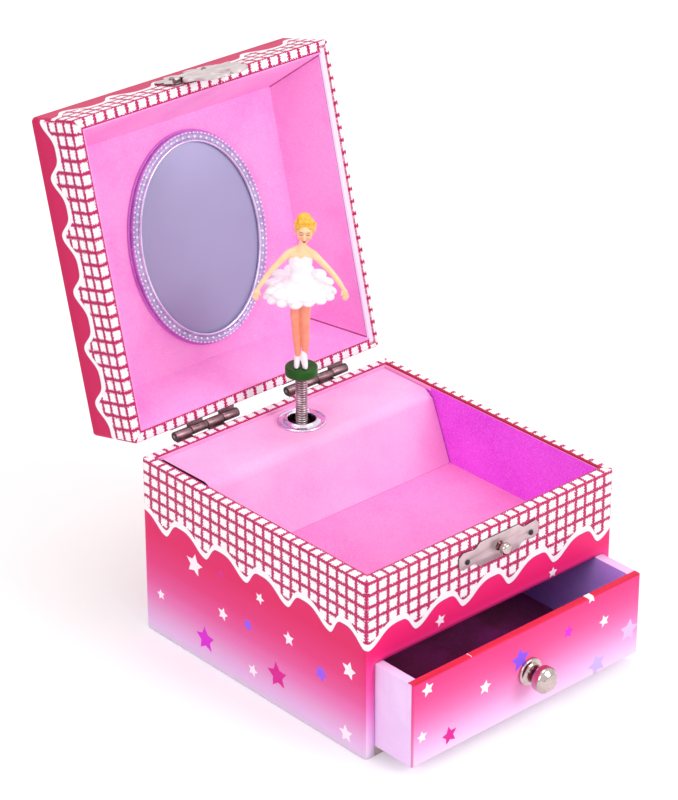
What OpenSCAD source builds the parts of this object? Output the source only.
// Wind-up jewellery music box with a folding dancer, a drawer and a mirrored lid.
// Frame: +Z up, front towards -Y, origin at the centre of the underside. Millimetres.

/* [Box] */
// Outer width of the box
box_w = 120; // [110:1:150]
// Outer depth of the box
box_d = 120; // [110:1:140]
// Height of the base, underside to rim
base_h = 71; // [68:1:90]
// Wall thickness with its paper
wall = 4; // [3:0.5:6]
// Thickness of the printed paper and of the lining paper
paper = 0.4; // [0.3:0.1:0.6]
// Radius of the upright outer corners
corner_r = 1.8; // [1:0.2:3]
// Thickness of the bottom board
bottom_t = 4; // [3:0.5:5]
// Depth of the tray, floor to rim
tray_depth = 28; // [26:0.5:32]
// Thickness of the shelf board under the tray
shelf_t = 3; // [2:0.5:4]
// How far the front rail reaches under the shelf
rail_lip = 1.9; // [0:0.1:4]

/* [Platform] */
// How far the platform lies under the rim
platform_drop = 1.5; // [0.5:0.1:2]
// Thickness of the card cover
cover_t = 1.5; // [1:0.1:2]
// Distance of the platform's front edge from the back
platform_depth = 30; // [29:0.5:34]
// Distance of the slope's foot from the back
slope_foot_depth = 40.8; // [38:0.1:45]
// Slit between the cover's left end and the wall
cover_slit = 1.2; // [0.5:0.1:3]

/* [Lid] */
// Height of the lid
lid_h = 25; // [20:0.5:32]
// Gap between the closed lid and the base rim
lid_gap = 0.2; // [0.1:0.1:0.5]
// Thickness of the lid's top board with its paper
lid_top_t = 3; // [2:0.5:5]
// Opening angle of the lid as it stands
lid_open = 104.18; // [95:0.5:110]
// Distance of the lining's flat part from the lid's sides
lining_side = 14; // [10:0.5:16]
// Distance of the lining's flat part from the lid's front
lining_front = 15.5; // [10:0.5:16]
// Distance of the lining's flat part from the lid's back
lining_back = 13; // [10:0.5:16]
// Thickness of the lid lining card
lining_t = 0.5; // [0.4:0.1:1]

/* [Mirror] */
// Half width of the mirror frame
frame_rx = 31; // [25:0.5:36]
// Half length of the mirror frame
frame_ry = 40; // [34:0.5:42]
// Width of the frame around the glass
frame_w = 4; // [3:0.5:6]
// Height of the frame over its backing
frame_t = 2.5; // [2:0.1:3]
// Thickness of the backing board
backing_t = 0.8; // [0.5:0.1:1]
// How far the backing shows past the frame
backing_rim = 0.7; // [0.3:0.1:1.5]
// Thickness of the mirror glass
glass_t = 1; // [0.8:0.1:1.5]
// How far the frame grips over the glass
glass_lap = 1; // [0.6:0.1:2]
// Middle of the mirror in depth, lid closed
mirror_y = 1.2; // [-1:0.1:3]

/* [Hinges] */
// Distance of the hinge axis behind the back
hinge_back = 3; // [2.8:0.1:4]
// Height of the hinge axis over the base rim
hinge_up = 0.5; // [0.2:0.1:1]
// Outer diameter of the knuckles
knuckle_d = 3.5; // [3:0.1:4]
// Diameter of the hinge pin
hinge_pin_d = 1.4; // [1:0.1:1.8]
// Length of one hinge
hinge_len = 30; // [20:1:36]
// Middle of each hinge from the middle of the box
hinge_x = 27; // [22:1:36]
// Knuckles on one hinge
knuckles = 4; // [2:2:6]
// Gap between neighbouring knuckles
knuckle_gap = 0.25; // [0.1:0.05:0.5]
// Height of one hinge leaf
leaf_h = 9; // [7:0.5:12]
// Thickness of the sheet metal fittings
sheet_t = 0.6; // [0.4:0.1:1]
// Diameter of the hinge nails
nail_d = 1; // [0.8:0.1:1.4]
// Length of the hinge nails in the wall
nail_len = 3; // [2:0.5:3]

/* [Latch] */
// Middle of the latch from the middle of the box
latch_x = 2; // [-10:0.5:10]
// How far the catch knob lies under the base rim
latch_drop = 9; // [8:0.5:12]
// Length of the latch plates
plate_len = 38.6; // [30:0.2:44]
// Width of the latch plates in the middle
plate_h = 9.6; // [7:0.1:10]
// Distance between the two plate pins
plate_pins = 30.9; // [26:0.1:34]
// Diameter of the catch knob
catch_d = 4.6; // [3.5:0.1:5.5]
// How far the catch knob stands out of the front
catch_out = 6; // [5.5:0.1:8]
// Diameter of the catch knob's stem
catch_stem_d = 2.4; // [1.6:0.1:3]
// Width of the swinging hasp between its lugs
hasp_w = 21; // [16:0.5:24]
// Height of the fixed leaf that carries the hasp
hasp_leaf_h = 14; // [9:0.5:16]
// Thickness of the swinging hasp
hasp_t = 1; // [0.8:0.1:1.5]
// Height of the hasp's pivot over the lid rim
hasp_pivot_up = 3; // [2:0.1:4]
// How far the hasp reaches past the catch knob
hasp_reach = 6.5; // [4:0.5:7]
// Width of the hasp's hole over the knob
hasp_hole_w = 6; // [5.2:0.1:7]

/* [Drawer] */
// How far the drawer stands open
drawer_out = 18.8; // [0:0.1:60]
// Depth of the drawer, front to back
drawer_d = 110; // [80:1:114]
// Running gap around the drawer
drawer_gap = 0.3; // [0.2:0.1:0.6]
// Thickness of the drawer front with its paper
front_t = 3; // [2.5:0.5:5]
// Thickness of the drawer sides
side_t = 3.8; // [2:0.1:5]
// Thickness of the drawer back
back_t = 3; // [2:0.5:5]
// Thickness of the drawer bottom
drawer_bottom_t = 2; // [1.5:0.5:3]
// Height of the drawer knob above the underside
knob_z = 20; // [15:0.5:25]
// Diameter of the drawer knob's flange
knob_flange_d = 10.7; // [8:0.1:13]
// Diameter of the drawer knob's head
knob_head_d = 10; // [7:0.1:14]
// How far the drawer knob stands out
knob_out = 11; // [9:0.5:15]
// Diameter of the drawer knob's screw
knob_screw_d = 2.4; // [2:0.1:3]

/* [Dancer] */
// Place of the dancer's axis in width
dancer_x = 3; // [-1:0.5:4]
// Distance of the dancer's axis from the back
dancer_back = 16; // [16:0.25:16.5]
// Direction that the dancer faces, from the front
dancer_turn = -42; // [-180:1:180]
// Outer diameter of the grommet
grommet_d = 18.5; // [16:0.5:20]
// Inner diameter of the grommet
grommet_bore = 10.4; // [8:0.2:11]
// Height of the grommet's rim over the platform
grommet_t = 1.5; // [1:0.1:2]
// Outer diameter of the spring
spring_d = 4.6; // [4:0.1:5]
// Inner diameter of the spring
spring_bore = 2.7; // [2.4:0.1:3]
// How far the spring stands above the platform
spring_show = 19.5; // [14:0.5:20]
// Diameter of the dancer's disc
disc_d = 12; // [10:0.5:13]
// Thickness of the dancer's disc
disc_t = 3.5; // [2:0.1:4]
// Height of the dancer, soles to the top of the bun
figure_h = 61.3; // [50:0.1:62]
// Span of the dancer's arms
arm_span = 34; // [28:0.5:35]
// Diameter of the tutu
tutu_d = 27; // [20:0.5:27]
// Thickness of the tutu's layers at the hem
tutu_t = 2.4; // [1:0.1:4]

/* [Movement] */
// Height of the barrel's axis above the tray floor
barrel_up = 11.5; // [11.3:0.1:12]
// Outer radius of the spring barrel
barrel_r = 9.4; // [9:0.1:9.6]
// Teeth of the barrel's crown wheel
crown_teeth = 24; // [20:1:30]
// Mean radius of the crown wheel's teeth
crown_r = 8.2; // [8:0.05:8.4]
// Teeth of the pinions that the crown wheel drives
pinion_teeth = 10; // [8:1:12]
// Diameter of the winding arbor
arbor_d = 3; // [2.6:0.1:3.2]
// Diameter of the tune cylinder
cylinder_d = 12; // [10:0.5:12.5]
// Length of the tune cylinder
cylinder_len = 15.5; // [12:0.5:16]
// Height of the tune pins
pin_h = 0.5; // [0.3:0.1:0.6]
// Notes of the comb
notes = 18; // [12:1:20]
// Clearance between the comb's tips and the tune pins
comb_gap = 0.15; // [0.1:0.05:0.3]
// Thickness of the bedplate
bed_t = 1.5; // [1:0.1:2]
// Teeth of the cylinder's end wheel
end_teeth = 32; // [28:1:36]
// Module of the governor gearing
fine_module = 0.4; // [0.36:0.01:0.42]
// Teeth of the governor pinion
gov_pinion_teeth = 8; // [7:1:9]
// Teeth of the worm wheel
worm_teeth = 12; // [10:1:14]
// Radius of the air-brake blades
fan_r = 3.4; // [2.5:0.1:3.5]
// Span of the winding key's wings
key_span = 18; // [14:0.5:20]
// Thickness of the winding key's wings
key_t = 1.6; // [1:0.1:2]
// Thickness of the movement's plates and brackets
plate_t = 1.5; // [1.2:0.1:1.6]
// Radial clearance of shafts and pins in their bores
fit = 0.05; // [0.03:0.01:0.08]

/* [Hidden] */

$fn = 48;
FACETS = 28;
half_w = box_w / 2;
half_d = box_d / 2;
in_x = half_w - wall;
in_y = half_d - wall;
rim_z = base_h + lid_gap;
tray_z = base_h - tray_depth;
opening_top = tray_z - paper - shelf_t - rail_lip;
platform_z = base_h - platform_drop;
platform_y = half_d - platform_depth;
slope_foot_y = half_d - slope_foot_depth;
latch_z = base_h - latch_drop;
dancer_y = half_d - dancer_back;
spring_top = platform_z + spring_show;
barrel_z = tray_z + barrel_up;
lining_flat_x = half_w - lining_side;
lining_flat_front = lining_front - half_d;
lining_flat_back = half_d - lining_back;
lid_top_z = rim_z + lid_h;
hinge_y = half_d + hinge_back;
hinge_z = base_h + hinge_up;
EPS = 0.01;

// Slope of the movement cover: millimetres of depth per millimetre of height.
slope_run = (platform_y - slope_foot_y) / (platform_z - tray_z);
cover_left = -in_x + paper + cover_slit;
cover_right = in_x - paper - drawer_gap;

// Wheels of the movement. The crown wheel drives two equal pinions.
crown_module = 2 * crown_r / crown_teeth;
pinion_r = crown_module * pinion_teeth / 2;
tooth_half = 0.72 * crown_module;
mesh_y = dancer_y + pinion_r;
crown_tip_y = mesh_y - tooth_half;
drum_y = mesh_y + tooth_half;
drum_end_y = in_y - 2.3;
crown_face = 2.4;
drum_wall = 0.8;
bed_top = tray_z + bed_t;
arbor_r = arbor_d / 2;
journal_r = 0.8;
pinion_tip_r = pinion_r + tooth_half - 0.1;
bridge_y = dancer_y - pinion_tip_r - 0.4 - plate_t;
bridge_half = 6.2;
wing_t = 1.2;
arm_t = 1.4;
arm_gap = 1.2;
arm_top_z = barrel_z + crown_r + 1.1 + arm_gap;
arm_low_z = barrel_z + crown_r - 5.1;
spindle_r = 0.9;
pinion_face = 2.2;
spindle_pinion_z = barrel_z + crown_r;
cylinder_pinion_x = dancer_x - crown_r;
cylinder_end_x = cylinder_pinion_x - pinion_face / 2 - 1.2;
cylinder_start_x = cylinder_end_x - cylinder_len;
end_wheel_t = 1.2;
end_wheel_x = cylinder_start_x - 0.2 - end_wheel_t;
bracket_x = end_wheel_x - 0.5 - plate_t;
bearing_rim = 2.5;
end_r = fine_module * end_teeth / 2;
gov_pinion_r = fine_module * gov_pinion_teeth / 2;
gov_drop = 36;
gov_y = dancer_y - (end_r + gov_pinion_r) * cos(gov_drop);
gov_z = barrel_z - (end_r + gov_pinion_r) * sin(gov_drop);
gov_shaft_r = 0.5;
worm_wheel_r = 2.4;
worm_wheel_t = 1.2;
worm_wheel_x = bracket_x - 2.8;
worm_x = worm_wheel_x + worm_wheel_t / 2;
worm_r = 1.1;
worm_pitch = 2 * PI * worm_wheel_r / worm_teeth;
worm_turns = 3;
worm_y = gov_y - worm_wheel_r - worm_r;
fan_z = barrel_z + bearing_rim + 1;
fan_h = 4.2;
frame_x = worm_wheel_x - 5;
comb_t = 0.8;
comb_tip_y = dancer_y - cylinder_d / 2 - pin_h - comb_gap;
comb_root = 4.5;
comb_len = 10.3;
comb_y = comb_tip_y - comb_len;
comb_x = cylinder_start_x - 0.2;
comb_w = cylinder_len + 0.4;
comb_pitch = comb_w / notes;
comb_screw_r = 0.6;
comb_screw_x = [for (i = [0:2]) comb_x + comb_w * (i + 0.5) / 3];
comb_screw_y = comb_y + comb_root / 2;
comb_screw_len = 4.1;
comb_screw_z = barrel_z - comb_t / 2 - comb_screw_len;
bed_x0 = frame_x - 3.5;
bed_x1 = dancer_x + 17;
bed_y0 = comb_y - 0.4;
bed_y1 = in_y - 1.5;
bed_screw_r = 1;
screw_depth = 2.2;
bed_screws = [[bed_x0 + 2.6, bed_y1 - 3], [bed_x1 - 3, bed_y1 - 3], [bed_x1 - 3, bed_y0 + 3]];
key_y = half_d + 1.2;
bush_r = 2.8;
click_x = dancer_x + 6.2;
ratchet_r = 4.2;
ratchet_t = 0.8;
ratchet_y = crown_tip_y - ratchet_t - 0.2;

// Dancer heights, soles upward from the disc.
sole_z = spring_top + disc_t;
figure_k = figure_h / 61.3;
plug_r = spring_bore / 2 - fit;
spring_foot_z = arm_top_z + arm_t + 0.1;
plug_len = 2.4;
head_r = 4.1 * figure_k;
tutu_top_z = sole_z + 36 * figure_k;
tutu_hem_z = sole_z + 28.4 * figure_k;
waist_r = 3.6 * figure_k;

// ---------- shared shapes ----------

module rounded_plan(inset = 0) {
    r = corner_r - inset;
    x = half_w - inset;
    y = half_d - inset;
    for (sx = [-1, 1], sy = [-1, 1]) translate([sx * (x - r), sy * (y - r)]) circle(r);
    square([2 * x, 2 * (y - r)], center = true);
    square([2 * (x - r), 2 * y], center = true);
}

module shell_block(inset, z0, z1) {
    translate([0, 0, z0]) linear_extrude(z1 - z0) rounded_plan(inset);
}

module box_between(a, b) {
    translate(a) cube(b - a);
}

// Cylinder along an axis: 0 = X, 1 = Y, 2 = Z, starting at p.
module rod(p, len, r, axis) {
    turn = axis == 0 ? [0, 90, 0] : axis == 1 ? [-90, 0, 0] : [0, 0, 0];
    translate(p) rotate(turn) cylinder(h = len, r = r);
}

module with_lid() {
    translate([0, hinge_y, hinge_z]) rotate([-lid_open, 0, 0]) translate([0, -hinge_y, -hinge_z])
        children();
}

module with_drawer() {
    translate([0, -drawer_out, 0]) children();
}

module on_dancer_axis(z) {
    translate([dancer_x, dancer_y, z]) children();
}

function polar(r, a) = [r * cos(a), r * sin(a)];

// Outline of a spur wheel with narrow teeth, one tooth at angle 0.
function wheel_points(n, root, tip, share = 0.34) = [
    for (i = [0:n - 1])
        let (a = 360 * i / n, w = 360 / n * share / 2)
        each [
            polar(root, a - w * 1.5), polar(tip, a - w * 0.6),
            polar(tip, a + w * 0.6), polar(root, a + w * 1.5)
        ]
];

function oval_points(rx, ry, n = 96) = [for (i = [0:n - 1]) [rx * cos(360 * i / n), ry * sin(360 * i / n)]];

// ---------- box ----------

// Bores through the back and front of the base, grown by a clearance.
module base_bores(clear) {
    for (x = plate_pin_x()) rod([x, -half_d - 1, latch_z - 0.7], 5, nail_d / 2 + clear, 1);
    rod([latch_x, -half_d - 1, latch_z], 5, catch_stem_d / 2 + clear, 1);
    for (x = nail_x()) rod([x, half_d - nail_len - 0.3, hinge_z - leaf_h * 0.7], 6, nail_d / 2 + clear, 1);
    rod([dancer_x, in_y - 1, barrel_z], 7, bush_r + clear, 1);
}

function plate_pin_x() = [for (s = [-1, 1]) latch_x + s * plate_pins / 2];
function nail_x() = [for (s = [-1, 1], k = [-1, 1]) s * hinge_x + k * hinge_len * 0.3];

module base_board(a, b) {
    difference() {
        intersection() {
            shell_block(paper, 0, base_h - paper);
            box_between(a, b);
        }
        base_bores(fit);
    }
}

module base_left_wall() {
    color("mistyrose") base_board([-half_w, -half_d, 0], [-in_x, half_d, base_h]);
}

module base_right_wall() {
    color("mistyrose") base_board([in_x, -half_d, 0], [half_w, half_d, base_h]);
}

module base_back_wall() {
    color("mistyrose") base_board([-in_x, in_y, 0], [in_x, half_d, base_h]);
}

module base_front_rail() {
    color("mistyrose") base_board([-in_x, -half_d, opening_top], [in_x, -in_y, base_h]);
}

module base_bottom() {
    color("mistyrose") box_between([-in_x, -half_d + paper, 0], [in_x, in_y, bottom_t]);
}

module tray_shelf() {
    color("mistyrose") difference() {
        box_between([-in_x, -in_y, tray_z - paper - shelf_t], [in_x, in_y, tray_z - paper]);
        bed_screw_bores();
    }
}

module base_wrap() {
    color("crimson") difference() {
        shell_block(0, 0, base_h);
        shell_block(paper, -1, base_h - paper);
        box_between([-in_x, -in_y, -1], [in_x, in_y, base_h + 1]);
        box_between([-in_x, -half_d - 1, -1], [in_x, 0, opening_top]);
        base_bores(fit);
    }
}

module tray_lining() {
    color("hotpink") difference() {
        box_between([-in_x, -in_y, tray_z - paper], [in_x, in_y, base_h - paper]);
        box_between([-in_x + paper, -in_y + paper, tray_z], [in_x - paper, in_y - paper, base_h]);
        base_bores(fit);
        bed_screw_bores();
    }
}

module movement_cover() {
    dy = cover_t * sqrt(1 + slope_run * slope_run);
    under_z = platform_z - cover_t;
    under_y = slope_foot_y + dy + (under_z - tray_z) * slope_run;
    back_y = in_y - paper - 0.1;
    color("orchid") difference() {
        translate([cover_left, 0, 0]) rotate([90, 0, 90]) linear_extrude(cover_right - cover_left)
            polygon([
                [slope_foot_y, tray_z], [platform_y, platform_z], [back_y, platform_z],
                [back_y, under_z], [under_y, under_z], [slope_foot_y + dy, tray_z]
            ]);
        rod([dancer_x, dancer_y, under_z - 1], cover_t + 2, grommet_bore / 2 + 1 + fit, 2);
    }
}

module spring_grommet() {
    r = grommet_bore / 2;
    flange_t = 0.8;
    color("silver") on_dancer_axis(0) rotate_extrude() {
        translate([r, platform_z - cover_t - 0.6]) square([1, cover_t + 0.6 + EPS]);
        translate([r, platform_z]) square([grommet_d / 2 - r, flange_t]);
        translate([r, platform_z]) square([1.7, grommet_t]);
    }
}

// ---------- latch ----------

// Corners of the plate's upper right quarter: a wide middle, a neck and a tapered ear.
function latch_quarter() = let (l = plate_len / 2, h = plate_h / 2)
    [[0.48 * l, h], [0.58 * l, 0.66 * h], [0.64 * l, 0.6 * h], [0.9 * l, 0.72 * h], [l, 0.42 * h]];

module latch_outline() {
    q = latch_quarter();
    last = len(q) - 1;
    polygon(concat(
        q,
        [for (i = [0:last]) [q[last - i][0], -q[last - i][1]]],
        [for (p = q) -p],
        [for (i = [0:last]) [-q[last - i][0], q[last - i][1]]]
    ));
}

module front_plate(z) {
    translate([latch_x, -half_d, z]) rotate([90, 0, 0]) linear_extrude(sheet_t) latch_outline();
}

// Domed pins through a plate, their heads on its face.
module domed_pin(x, z, r) {
    translate([x, -half_d - sheet_t, z]) rotate([90, 0, 0]) {
        cylinder(h = 0.4, r = r * 2);
        translate([0, 0, 0.4]) cylinder(h = 0.4, r1 = r * 2, r2 = r);
    }
    rod([x, -half_d - sheet_t - EPS, z], nail_len, r, 1);
}

module catch_plate() {
    color("gainsboro") difference() {
        front_plate(latch_z);
        base_bores(fit);
    }
}

module catch_pins() {
    color("silver") for (x = plate_pin_x()) domed_pin(x, latch_z - 0.7, nail_d / 2);
}

module catch_knob() {
    color("silver") translate([latch_x, -half_d, latch_z]) rotate([90, 0, 0]) {
        translate([0, 0, -nail_len]) cylinder(h = nail_len + catch_out - catch_d / 2, r = catch_stem_d / 2);
        translate([0, 0, catch_out - catch_d / 2]) sphere(d = catch_d);
        translate([0, 0, sheet_t]) cylinder(h = 0.6, r = catch_stem_d * 0.9);
    }
}

hasp_knuckle_r = 1.1;
hasp_lug = 2.4;
hasp_axis_y = -half_d - sheet_t - hasp_knuckle_r + 0.2;
hasp_pivot_z = rim_z + hasp_pivot_up;
hasp_leaf_z = hasp_pivot_z + 1.6;
hasp_pin_z = hasp_leaf_z + hasp_leaf_h / 2;

function hasp_pin_x() = [for (s = [-1, 1]) latch_x + s * hasp_w * 0.36];

module hasp_bores(clear) {
    for (x = hasp_pin_x()) rod([x, -half_d - 1, hasp_pin_z], 5, nail_d / 2 + clear, 1);
}

module hasp_leaf_outline() {
    lobe = hasp_leaf_h * 0.22;
    translate([-hasp_w / 2, 0]) square([hasp_w, hasp_leaf_h - lobe]);
    for (s = [-1, 1]) {
        translate([s * hasp_w / 2, lobe]) circle(lobe);
        translate([s * hasp_w / 2, hasp_leaf_h * 0.62]) circle(lobe);
        translate([s * hasp_w * 0.22, hasp_leaf_h - lobe]) circle(lobe);
    }
}

module hasp_plate() {
    outer_y = -half_d - sheet_t;
    color("gainsboro") with_lid() difference() {
        union() {
            translate([latch_x, -half_d, hasp_leaf_z]) rotate([90, 0, 0]) linear_extrude(sheet_t)
                hasp_leaf_outline();
            for (s = [-1, 1]) {
                x = latch_x + s * (hasp_w + hasp_lug) / 2;
                rod([x - hasp_lug / 2, hasp_axis_y, hasp_pivot_z], hasp_lug, hasp_knuckle_r, 0);
                box_between([x - hasp_lug / 2, outer_y, hasp_pivot_z],
                    [x + hasp_lug / 2, -half_d, hasp_leaf_z + hasp_leaf_h * 0.3]);
            }
        }
        rod([latch_x - hasp_w, hasp_axis_y, hasp_pivot_z], 2 * hasp_w, nail_d / 2 + fit, 0);
        hasp_bores(fit);
    }
}

module hasp_pins() {
    w = hasp_w + 2 * hasp_lug;
    color("silver") with_lid() {
        for (x = hasp_pin_x()) domed_pin(x, hasp_pin_z, nail_d / 2);
        rod([latch_x - w / 2, hasp_axis_y, hasp_pivot_z], w, nail_d / 2, 0);
    }
}

module hasp_flap_outline(drop) {
    half = hasp_w / 2 - 0.2;
    end_r = hasp_reach * 0.8;
    translate([-half, -drop]) square([2 * half, drop]);
    for (s = [-1, 1]) {
        translate([s * (half - 1), -drop * 0.5]) circle(drop * 0.28);
        translate([s * (half - end_r), -drop]) circle(end_r);
        translate([s * half * 0.3, -drop - hasp_reach + end_r * 0.6]) circle(end_r * 0.6);
    }
}

module hasp_flap() {
    w = hasp_w - 0.4;
    color("gainsboro") with_lid() difference() {
        union() {
            translate([latch_x, hasp_axis_y - hasp_knuckle_r + hasp_t, hasp_pivot_z]) rotate([90, 0, 0])
                linear_extrude(hasp_t) hasp_flap_outline(hasp_pivot_z - latch_z);
            rod([latch_x - w / 2, hasp_axis_y, hasp_pivot_z], w, hasp_knuckle_r, 0);
        }
        rod([latch_x - hasp_w, hasp_axis_y, hasp_pivot_z], 2 * hasp_w, nail_d / 2 + fit, 0);
        rod([latch_x, -half_d - 5, latch_z], 6, hasp_hole_w / 2, 1);
    }
}

// ---------- hinges ----------

function knuckle_pitch() = hinge_len / knuckles;

// Knuckles of one hinge; side 0 belongs to the base and side 1 to the lid.
module hinge_knuckles(side) {
    r = knuckle_d / 2;
    for (s = [-1, 1], i = [side:2:knuckles - 1]) {
        x = s * hinge_x - hinge_len / 2 + i * knuckle_pitch() + knuckle_gap / 2;
        w = knuckle_pitch() - knuckle_gap;
        rod([x, hinge_y, hinge_z], w, r, 0);
        z = side == 0 ? hinge_z - r : hinge_z + r - sheet_t;
        box_between([x, half_d + EPS, z], [x + w, hinge_y, z + sheet_t]);
    }
}

module hinge_leaves(side) {
    r = knuckle_d / 2;
    z = side == 0 ? hinge_z - r + sheet_t - leaf_h : hinge_z + r - sheet_t;
    difference() {
        union() {
            hinge_knuckles(side);
            for (s = [-1, 1]) box_between([s * hinge_x - hinge_len / 2, half_d, z],
                [s * hinge_x + hinge_len / 2, half_d + sheet_t, z + leaf_h]);
        }
        rod([-half_w, hinge_y, hinge_z], box_w, hinge_pin_d / 2 + fit, 0);
        if (side == 0) base_bores(fit);
        else lid_bores(fit);
    }
}

module lid_bores(clear) {
    for (x = nail_x()) rod([x, half_d - nail_len - 0.3, hinge_z + leaf_h * 0.7], 6, nail_d / 2 + clear, 1);
    hasp_bores(clear);
}

module nails(z) {
    for (x = nail_x()) {
        rod([x, half_d - nail_len, z], nail_len + sheet_t + 0.2, nail_d / 2, 1);
        translate([x, half_d + sheet_t, z]) rotate([-90, 0, 0]) cylinder(h = 0.6, r1 = nail_d, r2 = nail_d / 2);
    }
}

module base_hinge_leaves() { color("dimgray") hinge_leaves(0); }

module lid_hinge_leaves() { color("dimgray") with_lid() hinge_leaves(1); }

module base_hinge_nails() { color("gray") nails(hinge_z - leaf_h * 0.7); }

module lid_hinge_nails() { color("gray") with_lid() nails(hinge_z + leaf_h * 0.7); }

module hinge_pins() {
    color("gray") for (s = [-1, 1])
        rod([s * hinge_x - hinge_len / 2, hinge_y, hinge_z], hinge_len, hinge_pin_d / 2, 0);
}

// ---------- lid ----------

panel_z = lid_top_z - lid_top_t;

module lid_board(a, b) {
    with_lid() difference() {
        intersection() {
            shell_block(paper, rim_z + paper, lid_top_z - paper);
            box_between(a, b);
        }
        lid_bores(fit);
    }
}

module lid_panel() {
    color("mistyrose") lid_board([-half_w, -half_d, panel_z], [half_w, half_d, lid_top_z]);
}

module lid_side_walls() {
    color("mistyrose") for (s = [-1, 1])
        lid_board([s < 0 ? -half_w : in_x, -half_d, rim_z], [s < 0 ? -in_x : half_w, half_d, panel_z]);
}

module lid_front_wall() {
    color("mistyrose") lid_board([-in_x, -half_d, rim_z], [in_x, -in_y, panel_z]);
}

module lid_back_wall() {
    color("mistyrose") lid_board([-in_x, in_y, rim_z], [in_x, half_d, panel_z]);
}

module lid_wrap() {
    color("crimson") with_lid() difference() {
        shell_block(0, rim_z, lid_top_z);
        shell_block(paper, rim_z + paper, lid_top_z - paper);
        box_between([-in_x, -in_y, rim_z - 1], [in_x, in_y, panel_z]);
        lid_bores(fit);
    }
}

// Flat panel with four slopes out to the rim, grown outward by an offset.
module hopper(grow, z0) {
    hull() {
        box_between([-in_x + lining_t - grow, -in_y + lining_t - grow, z0],
            [in_x - lining_t + grow, in_y - lining_t + grow, z0 + EPS]);
        box_between([-lining_flat_x - grow, lining_flat_front - grow, panel_z - lining_t + grow - EPS],
            [lining_flat_x + grow, lining_flat_back + grow, panel_z - lining_t + grow]);
    }
}

module lid_lining() {
    color("violet") with_lid() difference() {
        hopper(lining_t, rim_z);
        hopper(0, rim_z - EPS);
    }
}

module oval_slab(rx, ry, z0, z1) {
    translate([0, mirror_y, z0]) linear_extrude(z1 - z0) polygon(oval_points(rx, ry));
}

lining_face_z = panel_z - lining_t;
glass_top_z = lining_face_z - backing_t;

module mirror_backing() {
    color("mediumorchid") with_lid()
        oval_slab(frame_rx + backing_rim, frame_ry + backing_rim, glass_top_z, lining_face_z);
}

module mirror_glass() {
    grip = frame_w - glass_lap;
    color("lightsteelblue") with_lid()
        oval_slab(frame_rx - grip, frame_ry - grip, glass_top_z - glass_t, glass_top_z);
}

module mirror_frame() {
    grip = frame_w - glass_lap - fit;
    low = glass_top_z - frame_t;
    color("thistle") with_lid() difference() {
        oval_slab(frame_rx, frame_ry, low, glass_top_z);
        oval_slab(frame_rx - frame_w, frame_ry - frame_w, low - 1, glass_top_z + 1);
        oval_slab(frame_rx - grip, frame_ry - grip, glass_top_z - glass_t - fit, glass_top_z + 1);
    }
}

// ---------- drawer ----------

drawer_x = in_x - drawer_gap;
drawer_z0 = bottom_t + drawer_gap;
drawer_z1 = opening_top - drawer_gap;
drawer_front_y = -half_d + front_t;
drawer_back_y = -half_d + drawer_d;

module knob_bore(clear) {
    rod([0, -half_d - knob_out / 2, knob_z], knob_out, knob_screw_d / 2 + clear, 1);
}

module drawer_front() {
    color("mistyrose") with_drawer() difference() {
        box_between([-drawer_x, -half_d + paper, drawer_z0], [drawer_x, drawer_front_y, drawer_z1]);
        knob_bore(fit);
    }
}

module drawer_wrap() {
    color("crimson") with_drawer() difference() {
        box_between([-drawer_x, -half_d, drawer_z0], [drawer_x, -half_d + paper, drawer_z1]);
        knob_bore(fit);
    }
}

module drawer_sides() {
    color("plum") with_drawer() for (x = [-drawer_x, drawer_x - side_t])
        box_between([x, drawer_front_y, drawer_z0], [x + side_t, drawer_back_y, drawer_z1]);
}

module drawer_back() {
    x = drawer_x - side_t;
    color("plum") with_drawer()
        box_between([-x, drawer_back_y - back_t, drawer_z0], [x, drawer_back_y, drawer_z1]);
}

module drawer_bottom() {
    x = drawer_x - side_t;
    color("plum") with_drawer()
        box_between([-x, drawer_front_y, drawer_z0], [x, drawer_back_y - back_t, drawer_z0 + drawer_bottom_t]);
}

module drawer_lining() {
    x = drawer_x - side_t;
    z = drawer_z0 + drawer_bottom_t;
    color("silver") with_drawer() box_between([-x, drawer_front_y, z], [x, drawer_back_y - back_t, z + paper]);
}

module drawer_knob() {
    head = knob_head_d / 2;
    neck = knob_out * 0.4;
    color("silver") with_drawer() translate([0, -half_d, knob_z]) rotate([90, 0, 0]) difference() {
        rotate_extrude() {
            square([knob_flange_d / 2, knob_out * 0.12]);
            square([head * 0.5, neck + 1]);
            intersection() {
                translate([0, neck]) square([head, knob_out - neck]);
                translate([0, neck]) scale([1, (knob_out - neck) / head]) circle(head, $fn = 64);
            }
        }
        translate([0, 0, -1]) cylinder(h = knob_out * 0.55 + 1, r = knob_screw_d / 2 + fit);
    }
}

module knob_screw() {
    color("silver") with_drawer() {
        rod([0, -half_d - knob_out * 0.5, knob_z], knob_out * 0.5 + front_t + EPS, knob_screw_d / 2, 1);
        rod([0, drawer_front_y, knob_z], 1.2, knob_screw_d, 1);
    }
}

// ---------- movement ----------

module bed_screw_bores() {
    for (p = bed_screws)
        rod([p[0], p[1], tray_z - screw_depth - 0.3], screw_depth + 0.3 + bed_t + EPS, bed_screw_r + fit, 2);
}

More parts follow.
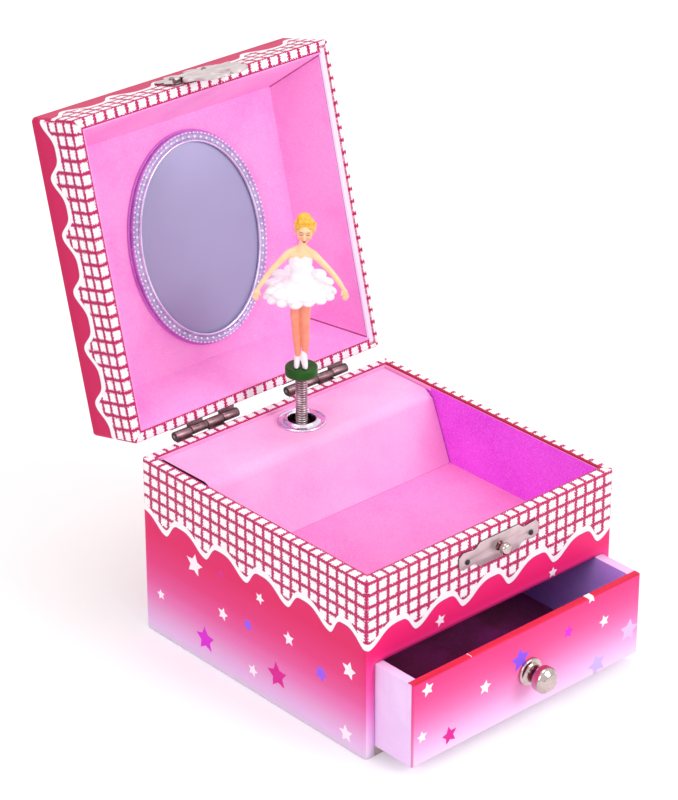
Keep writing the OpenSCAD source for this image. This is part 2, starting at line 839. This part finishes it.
module bedplate() {
    post_x1 = comb_x + comb_w;
    color("goldenrod") difference() {
        union() {
            box_between([bed_x0, bed_y0, tray_z], [bed_x1, bed_y1, bed_top]);
            box_between([comb_x, comb_y, tray_z + EPS], [post_x1, comb_y + comb_root, barrel_z - comb_t / 2]);
        }
        bed_screw_bores();
        for (x = comb_screw_x)
            rod([x, comb_screw_y, comb_screw_z - 0.5], comb_screw_len + 0.5 + comb_t, comb_screw_r + fit, 2);
        rod([worm_x, worm_y, tray_z - EPS], bed_t + 2 * EPS, gov_shaft_r + fit, 2);
    }
}

module movement_screws() {
    color("silver") {
        for (p = bed_screws) {
            rod([p[0], p[1], tray_z - screw_depth], screw_depth + bed_t + EPS, bed_screw_r, 2);
            rod([p[0], p[1], bed_top], 1.2, bed_screw_r * 2, 2);
        }
        for (x = comb_screw_x) {
            rod([x, comb_screw_y, comb_screw_z], comb_screw_len + comb_t + EPS, comb_screw_r, 2);
            rod([x, comb_screw_y, barrel_z + comb_t / 2], 0.8, comb_screw_r * 2, 2);
        }
    }
}

module note_comb() {
    color("lightgray") difference() {
        translate([comb_x, comb_y, barrel_z - comb_t / 2]) linear_extrude(comb_t) {
            square([comb_w, comb_root]);
            for (i = [0:notes - 1])
                translate([(i + 0.17) * comb_pitch, comb_root - EPS])
                    square([comb_pitch * 0.66, comb_len - comb_root]);
        }
        for (x = comb_screw_x) rod([x, comb_screw_y, barrel_z - 2], 4, comb_screw_r + fit, 2);
    }
}

module bearing_plate(x, t, y0, y1, z1) {
    box_between([x, y0, bed_top], [x + t, y1, z1]);
}

module cylinder_brackets() {
    color("goldenrod") difference() {
        bearing_plate(bracket_x, plate_t, gov_y - 2, dancer_y + bearing_rim, barrel_z + bearing_rim);
        rod([bracket_x - 1, dancer_y, barrel_z], plate_t + 2, journal_r + fit, 0);
        rod([bracket_x - 1, gov_y, gov_z], plate_t + 2, gov_shaft_r + fit, 0);
    }
}

module barrel_bridge() {
    x0 = dancer_x - bridge_half;
    arm_y = ratchet_y - 0.2;
    inner_y = bridge_y + plate_t - EPS;
    arm_half = 2;
    color("goldenrod") difference() {
        union() {
            bearing_plate(x0, 2 * bridge_half, bridge_y, bridge_y + plate_t, arm_top_z + arm_t);
            bearing_plate(x0, wing_t, inner_y, ratchet_y + ratchet_t, barrel_z + bearing_rim);
            for (z = [arm_low_z, arm_top_z])
                box_between([dancer_x - arm_half, inner_y, z], [dancer_x + arm_half, arm_y, z + arm_t]);
        }
        rod([dancer_x, bridge_y - 1, barrel_z], plate_t + 2, journal_r + fit, 1);
        rod([x0 - 1, dancer_y, barrel_z], wing_t + 2, journal_r + fit, 0);
        rod([dancer_x, dancer_y, arm_low_z + 0.3], spring_foot_z - arm_low_z, spindle_r + fit, 2);
    }
}

module governor_frame() {
    arm_z = fan_z + fan_h + 1;
    color("goldenrod") difference() {
        union() {
            bearing_plate(frame_x, 1.2, worm_y - 1.5, gov_y + 2, arm_z + 1.2);
            box_between([frame_x, worm_y - 1.5, arm_z], [worm_x + 1.5, worm_y + 1.5, arm_z + 1.2]);
        }
        rod([frame_x - 1, gov_y, gov_z], 4, gov_shaft_r + fit, 0);
        rod([worm_x, worm_y, arm_z - 1], 4, gov_shaft_r + fit, 2);
    }
}

module key_bush() {
    color("silver") difference() {
        union() {
            rod([dancer_x, in_y - paper, barrel_z], wall + paper, bush_r, 1);
            rod([dancer_x, half_d, barrel_z], sheet_t, bush_r + 1.7, 1);
        }
        rod([dancer_x, in_y - 2, barrel_z], 10, arbor_r + fit, 1);
    }
}

module click_spring() {
    tip = dancer_x + ratchet_r + 0.25;
    color("silver") translate([0, ratchet_y + ratchet_t, 0]) rotate([90, 0, 0]) linear_extrude(ratchet_t)
        polygon([
            [click_x, bed_top], [click_x + 3, bed_top], [click_x + 3, bed_top + 1],
            [click_x + 1, bed_top + 1], [click_x + 0.6, barrel_z + 1], [tip, barrel_z + 0.6],
            [tip, barrel_z], [click_x, barrel_z]
        ]);
}

module about_barrel() {
    translate([dancer_x, 0, barrel_z]) rotate([-90, 0, 0]) children();
}

module spring_barrel() {
    depth = drum_end_y - drum_y;
    color("silver") about_barrel() difference() {
        union() {
            translate([0, 0, drum_y]) cylinder(h = depth, r = barrel_r, $fn = 96);
            for (i = [0:crown_teeth - 1]) rotate(360 * i / crown_teeth)
                translate([crown_r - crown_face / 2, -crown_module * 0.45, crown_tip_y])
                    cube([crown_face, crown_module * 0.9, drum_y - crown_tip_y + EPS]);
        }
        translate([0, 0, drum_y + drum_wall]) cylinder(h = depth - 2 * drum_wall, r = barrel_r - drum_wall);
        translate([0, 0, drum_y - 1]) cylinder(h = depth + 2, r = arbor_r + fit);
    }
}

module mainspring() {
    turns = 7;
    steps = 22;
    t = 0.35;
    r0 = arbor_r + 0.4;
    r1 = barrel_r - drum_wall - 0.4 - t;
    n = turns * steps;
    color("darkslategray") about_barrel() translate([0, 0, drum_y + drum_wall + 0.3])
        linear_extrude(drum_end_y - drum_y - 2 * drum_wall - 0.6) polygon(concat(
            [for (i = [0:n]) polar(r0 + (r1 - r0) * i / n, 360 * i / steps)],
            [for (i = [n:-1:0]) polar(r0 + t + (r1 - r0) * i / n, 360 * i / steps)]));
}

module winding_arbor() {
    color("silver") {
        rod([dancer_x, bridge_y, barrel_z], plate_t + 0.4, journal_r, 1);
        rod([dancer_x, bridge_y + plate_t + 0.3, barrel_z], key_y + 4 - bridge_y - plate_t, arbor_r, 1);
        about_barrel() translate([0, 0, ratchet_y]) linear_extrude(ratchet_t)
            polygon([for (i = [0:11]) each [polar(ratchet_r - 1, 30 * i), polar(ratchet_r, 30 * i + 1)]]);
    }
}

module winding_key() {
    wing = key_span / 4;
    color("silver") difference() {
        union() {
            rod([dancer_x, key_y, barrel_z], 5.5, 2.6, 1);
            about_barrel() rotate(30) translate([0, 0, key_y + 5]) rotate([90, 0, 0])
                translate([0, 0, -key_t / 2]) linear_extrude(key_t) difference() {
                    union() {
                        for (s = [-1, 1]) translate([s * wing, wing]) circle(wing);
                        translate([-wing, 0]) square([2 * wing, wing]);
                    }
                    for (s = [-1, 1]) translate([s * wing, wing]) circle(wing * 0.38);
                }
        }
        rod([dancer_x, key_y - 1, barrel_z], 5.5, arbor_r + fit, 1);
    }
}

module tune_cylinder() {
    r = cylinder_d / 2;
    right_x = cylinder_pinion_x + pinion_face / 2;
    color("gold") translate([0, dancer_y, barrel_z]) rotate([0, 90, 0]) {
        difference() {
            translate([0, 0, cylinder_start_x]) cylinder(h = cylinder_len, r = r, $fn = 96);
            translate([0, 0, cylinder_start_x - 1]) cylinder(h = cylinder_len, r = r - 1);
        }
        translate([0, 0, bracket_x]) cylinder(h = dancer_x - bridge_half + wing_t - bracket_x, r = journal_r);
        translate([0, 0, end_wheel_x]) linear_extrude(end_wheel_t)
            rotate(gov_drop - 90) polygon(wheel_points(end_teeth, end_r - 0.45, end_r + 0.3));
        translate([0, 0, end_wheel_x + end_wheel_t - EPS]) cylinder(h = 1.2, r = 2);
        translate([0, 0, right_x - pinion_face]) linear_extrude(pinion_face)
            rotate(90) rotate(180 / pinion_teeth)
                polygon(wheel_points(pinion_teeth, pinion_r - tooth_half - 0.1, pinion_tip_r));
        for (i = [0:notes - 1], k = [0:2])
            translate([0, 0, comb_x + (i + 0.5) * comb_pitch]) rotate(k * 120 + (i * 137) % 120)
                rotate([0, 90, 0]) translate([0, 0, r - 0.6]) cylinder(h = 0.6 + pin_h, r = 0.22, $fn = 16);
    }
}

module governor_wheel() {
    color("goldenrod") translate([0, gov_y, gov_z]) rotate([0, 90, 0]) {
        translate([0, 0, frame_x]) cylinder(h = end_wheel_x + end_wheel_t + 0.3 - frame_x, r = gov_shaft_r);
        translate([0, 0, end_wheel_x]) linear_extrude(end_wheel_t)
            rotate(gov_drop + 90 + 180 / gov_pinion_teeth)
                polygon(wheel_points(gov_pinion_teeth, gov_pinion_r - 0.45, gov_pinion_r + 0.3));
        translate([0, 0, worm_wheel_x]) linear_extrude(worm_wheel_t)
            rotate(-90 - 90 / worm_teeth)
                polygon(wheel_points(worm_teeth, worm_wheel_r - 0.4, worm_wheel_r + 0.3, 0.28));
    }
}

// Ring of four points of the worm's thread at turn t.
function thread_ring(t, root, tip, w) = let (a = 360 * t, z = worm_pitch * (t - worm_turns / 2)) [
    for (p = [[root, -w], [tip, -w * 0.5], [tip, w * 0.5], [root, w]]) [p[0] * cos(a), p[0] * sin(a), z + p[1]]
];

module worm_thread() {
    per_turn = 16;
    n = worm_turns * per_turn;
    rings = [for (i = [0:n]) each thread_ring(i / per_turn, worm_r - 0.55, worm_r + 0.3, 0.2)];
    sides = [for (i = [0:n - 1], k = [0:3]) let (a = 4 * i, b = (k + 1) % 4)
        [a + k, a + b, a + 4 + b, a + 4 + k]];
    polyhedron(rings, concat([[3, 2, 1, 0]], sides, [[4 * n, 4 * n + 1, 4 * n + 2, 4 * n + 3]]));
}

module governor_fan() {
    color("silver") translate([worm_x, worm_y, 0]) {
        translate([0, 0, tray_z + 0.5]) cylinder(h = fan_z + fan_h + 1.9 - tray_z, r = gov_shaft_r);
        translate([0, 0, gov_z - worm_turns * worm_pitch / 2 - 0.4])
            cylinder(h = worm_turns * worm_pitch + 0.8, r = worm_r - 0.4);
        translate([0, 0, gov_z]) worm_thread();
        translate([-fan_r, -0.2, fan_z]) cube([2 * fan_r, 0.4, fan_h]);
    }
}

module dancer_spindle() {
    color("silver") on_dancer_axis(0) {
        translate([0, 0, arm_low_z + 0.4])
            cylinder(h = spring_foot_z + plug_len - arm_low_z, r = spindle_r);
        translate([0, 0, spindle_pinion_z - pinion_face / 2]) linear_extrude(pinion_face)
            rotate(90 + 180 / pinion_teeth)
                polygon(wheel_points(pinion_teeth, pinion_r - tooth_half - 0.1, pinion_tip_r));
        translate([0, 0, spring_foot_z + 0.2]) cylinder(h = plug_len, r = plug_r);
    }
}

// ---------- dancer ----------

module spring_column() {
    color("silver") on_dancer_axis(spring_foot_z) difference() {
        cylinder(h = spring_top - spring_foot_z, d = spring_d);
        translate([0, 0, -1]) cylinder(h = spring_top - spring_foot_z + 2, d = spring_bore);
    }
}

module dancer_disc() {
    color("darkgreen") on_dancer_axis(spring_top) {
        cylinder(h = disc_t, d = disc_d);
        translate([0, 0, -3]) cylinder(h = 3 + EPS, r = plug_r);
    }
}

module ball(p, r) {
    translate(p) sphere(r, $fn = FACETS);
}

module limb(p0, r0, p1, r1) {
    hull() {
        ball(p0, r0);
        ball(p1, r1);
    }
}

module ballerina() {
    k = figure_k;
    hand_r = 1;
    elbow = [12.4 * k, -2.2 * k, 38 * k];
    shoulder = [3.6 * k, 0, 43.4 * k];
    hand = [arm_span / 2 - hand_r, -3.5 * k, 28 * k];
    color("bisque") on_dancer_axis(sole_z) rotate(dancer_turn) {
        cylinder(h = 5 * k, r1 = 2.2 * k, r2 = 1.9 * k);
        translate([0, 0, 5 * k - EPS]) cylinder(h = 21 * k, r1 = 2.2 * k, r2 = waist_r);
        translate([0, 0, 26 * k - 2 * EPS]) cylinder(h = 12 * k, r = waist_r);
        limb([0, 0, 38 * k], waist_r, [0, 0, 42 * k], 4 * k);
        for (s = [-1, 1]) {
            e = [s * elbow[0], elbow[1], elbow[2]];
            limb([s * shoulder[0], shoulder[1], shoulder[2]], 1.9 * k, e, 1.2 * k);
            limb(e, 1.2 * k, [s * hand[0], hand[1], hand[2]], hand_r);
        }
        translate([0, 0, 44 * k]) cylinder(h = 5 * k, r = 1.5 * k);
        ball([0, -0.4 * k, 52.5 * k], head_r);
        ball([0, 0.6 * k, figure_h - 2.7 * k], 2.7 * k);
    }
}

module tutu() {
    gap = 0.15;
    r = tutu_d / 2;
    h = tutu_top_z - tutu_hem_z;
    color("white") on_dancer_axis(tutu_hem_z) rotate_extrude($fn = 64)
        polygon([
            [waist_r + gap, h], [waist_r + gap, h - tutu_t - 3], [r * 0.75, 0],
            [r, tutu_t * 0.5], [r, tutu_t * 1.5], [r * 0.6, h - 1]
        ]);
}

// ---------- the assembly ----------

base_left_wall();
base_right_wall();
base_back_wall();
base_front_rail();
base_bottom();
tray_shelf();
base_wrap();
tray_lining();
movement_cover();
spring_grommet();
catch_plate();
catch_pins();
catch_knob();
base_hinge_leaves();
base_hinge_nails();
hinge_pins();
bedplate();
movement_screws();
note_comb();
cylinder_brackets();
barrel_bridge();
governor_frame();
key_bush();
click_spring();
lid_panel();
lid_side_walls();
lid_front_wall();
lid_back_wall();
lid_wrap();
lid_lining();
mirror_backing();
mirror_glass();
mirror_frame();
hasp_plate();
hasp_pins();
lid_hinge_leaves();
lid_hinge_nails();
hasp_flap();
drawer_front();
drawer_sides();
drawer_back();
drawer_bottom();
drawer_wrap();
drawer_lining();
drawer_knob();
knob_screw();
spring_barrel();
mainspring();
winding_arbor();
winding_key();
tune_cylinder();
governor_wheel();
governor_fan();
dancer_spindle();
spring_column();
dancer_disc();
ballerina();
tutu();
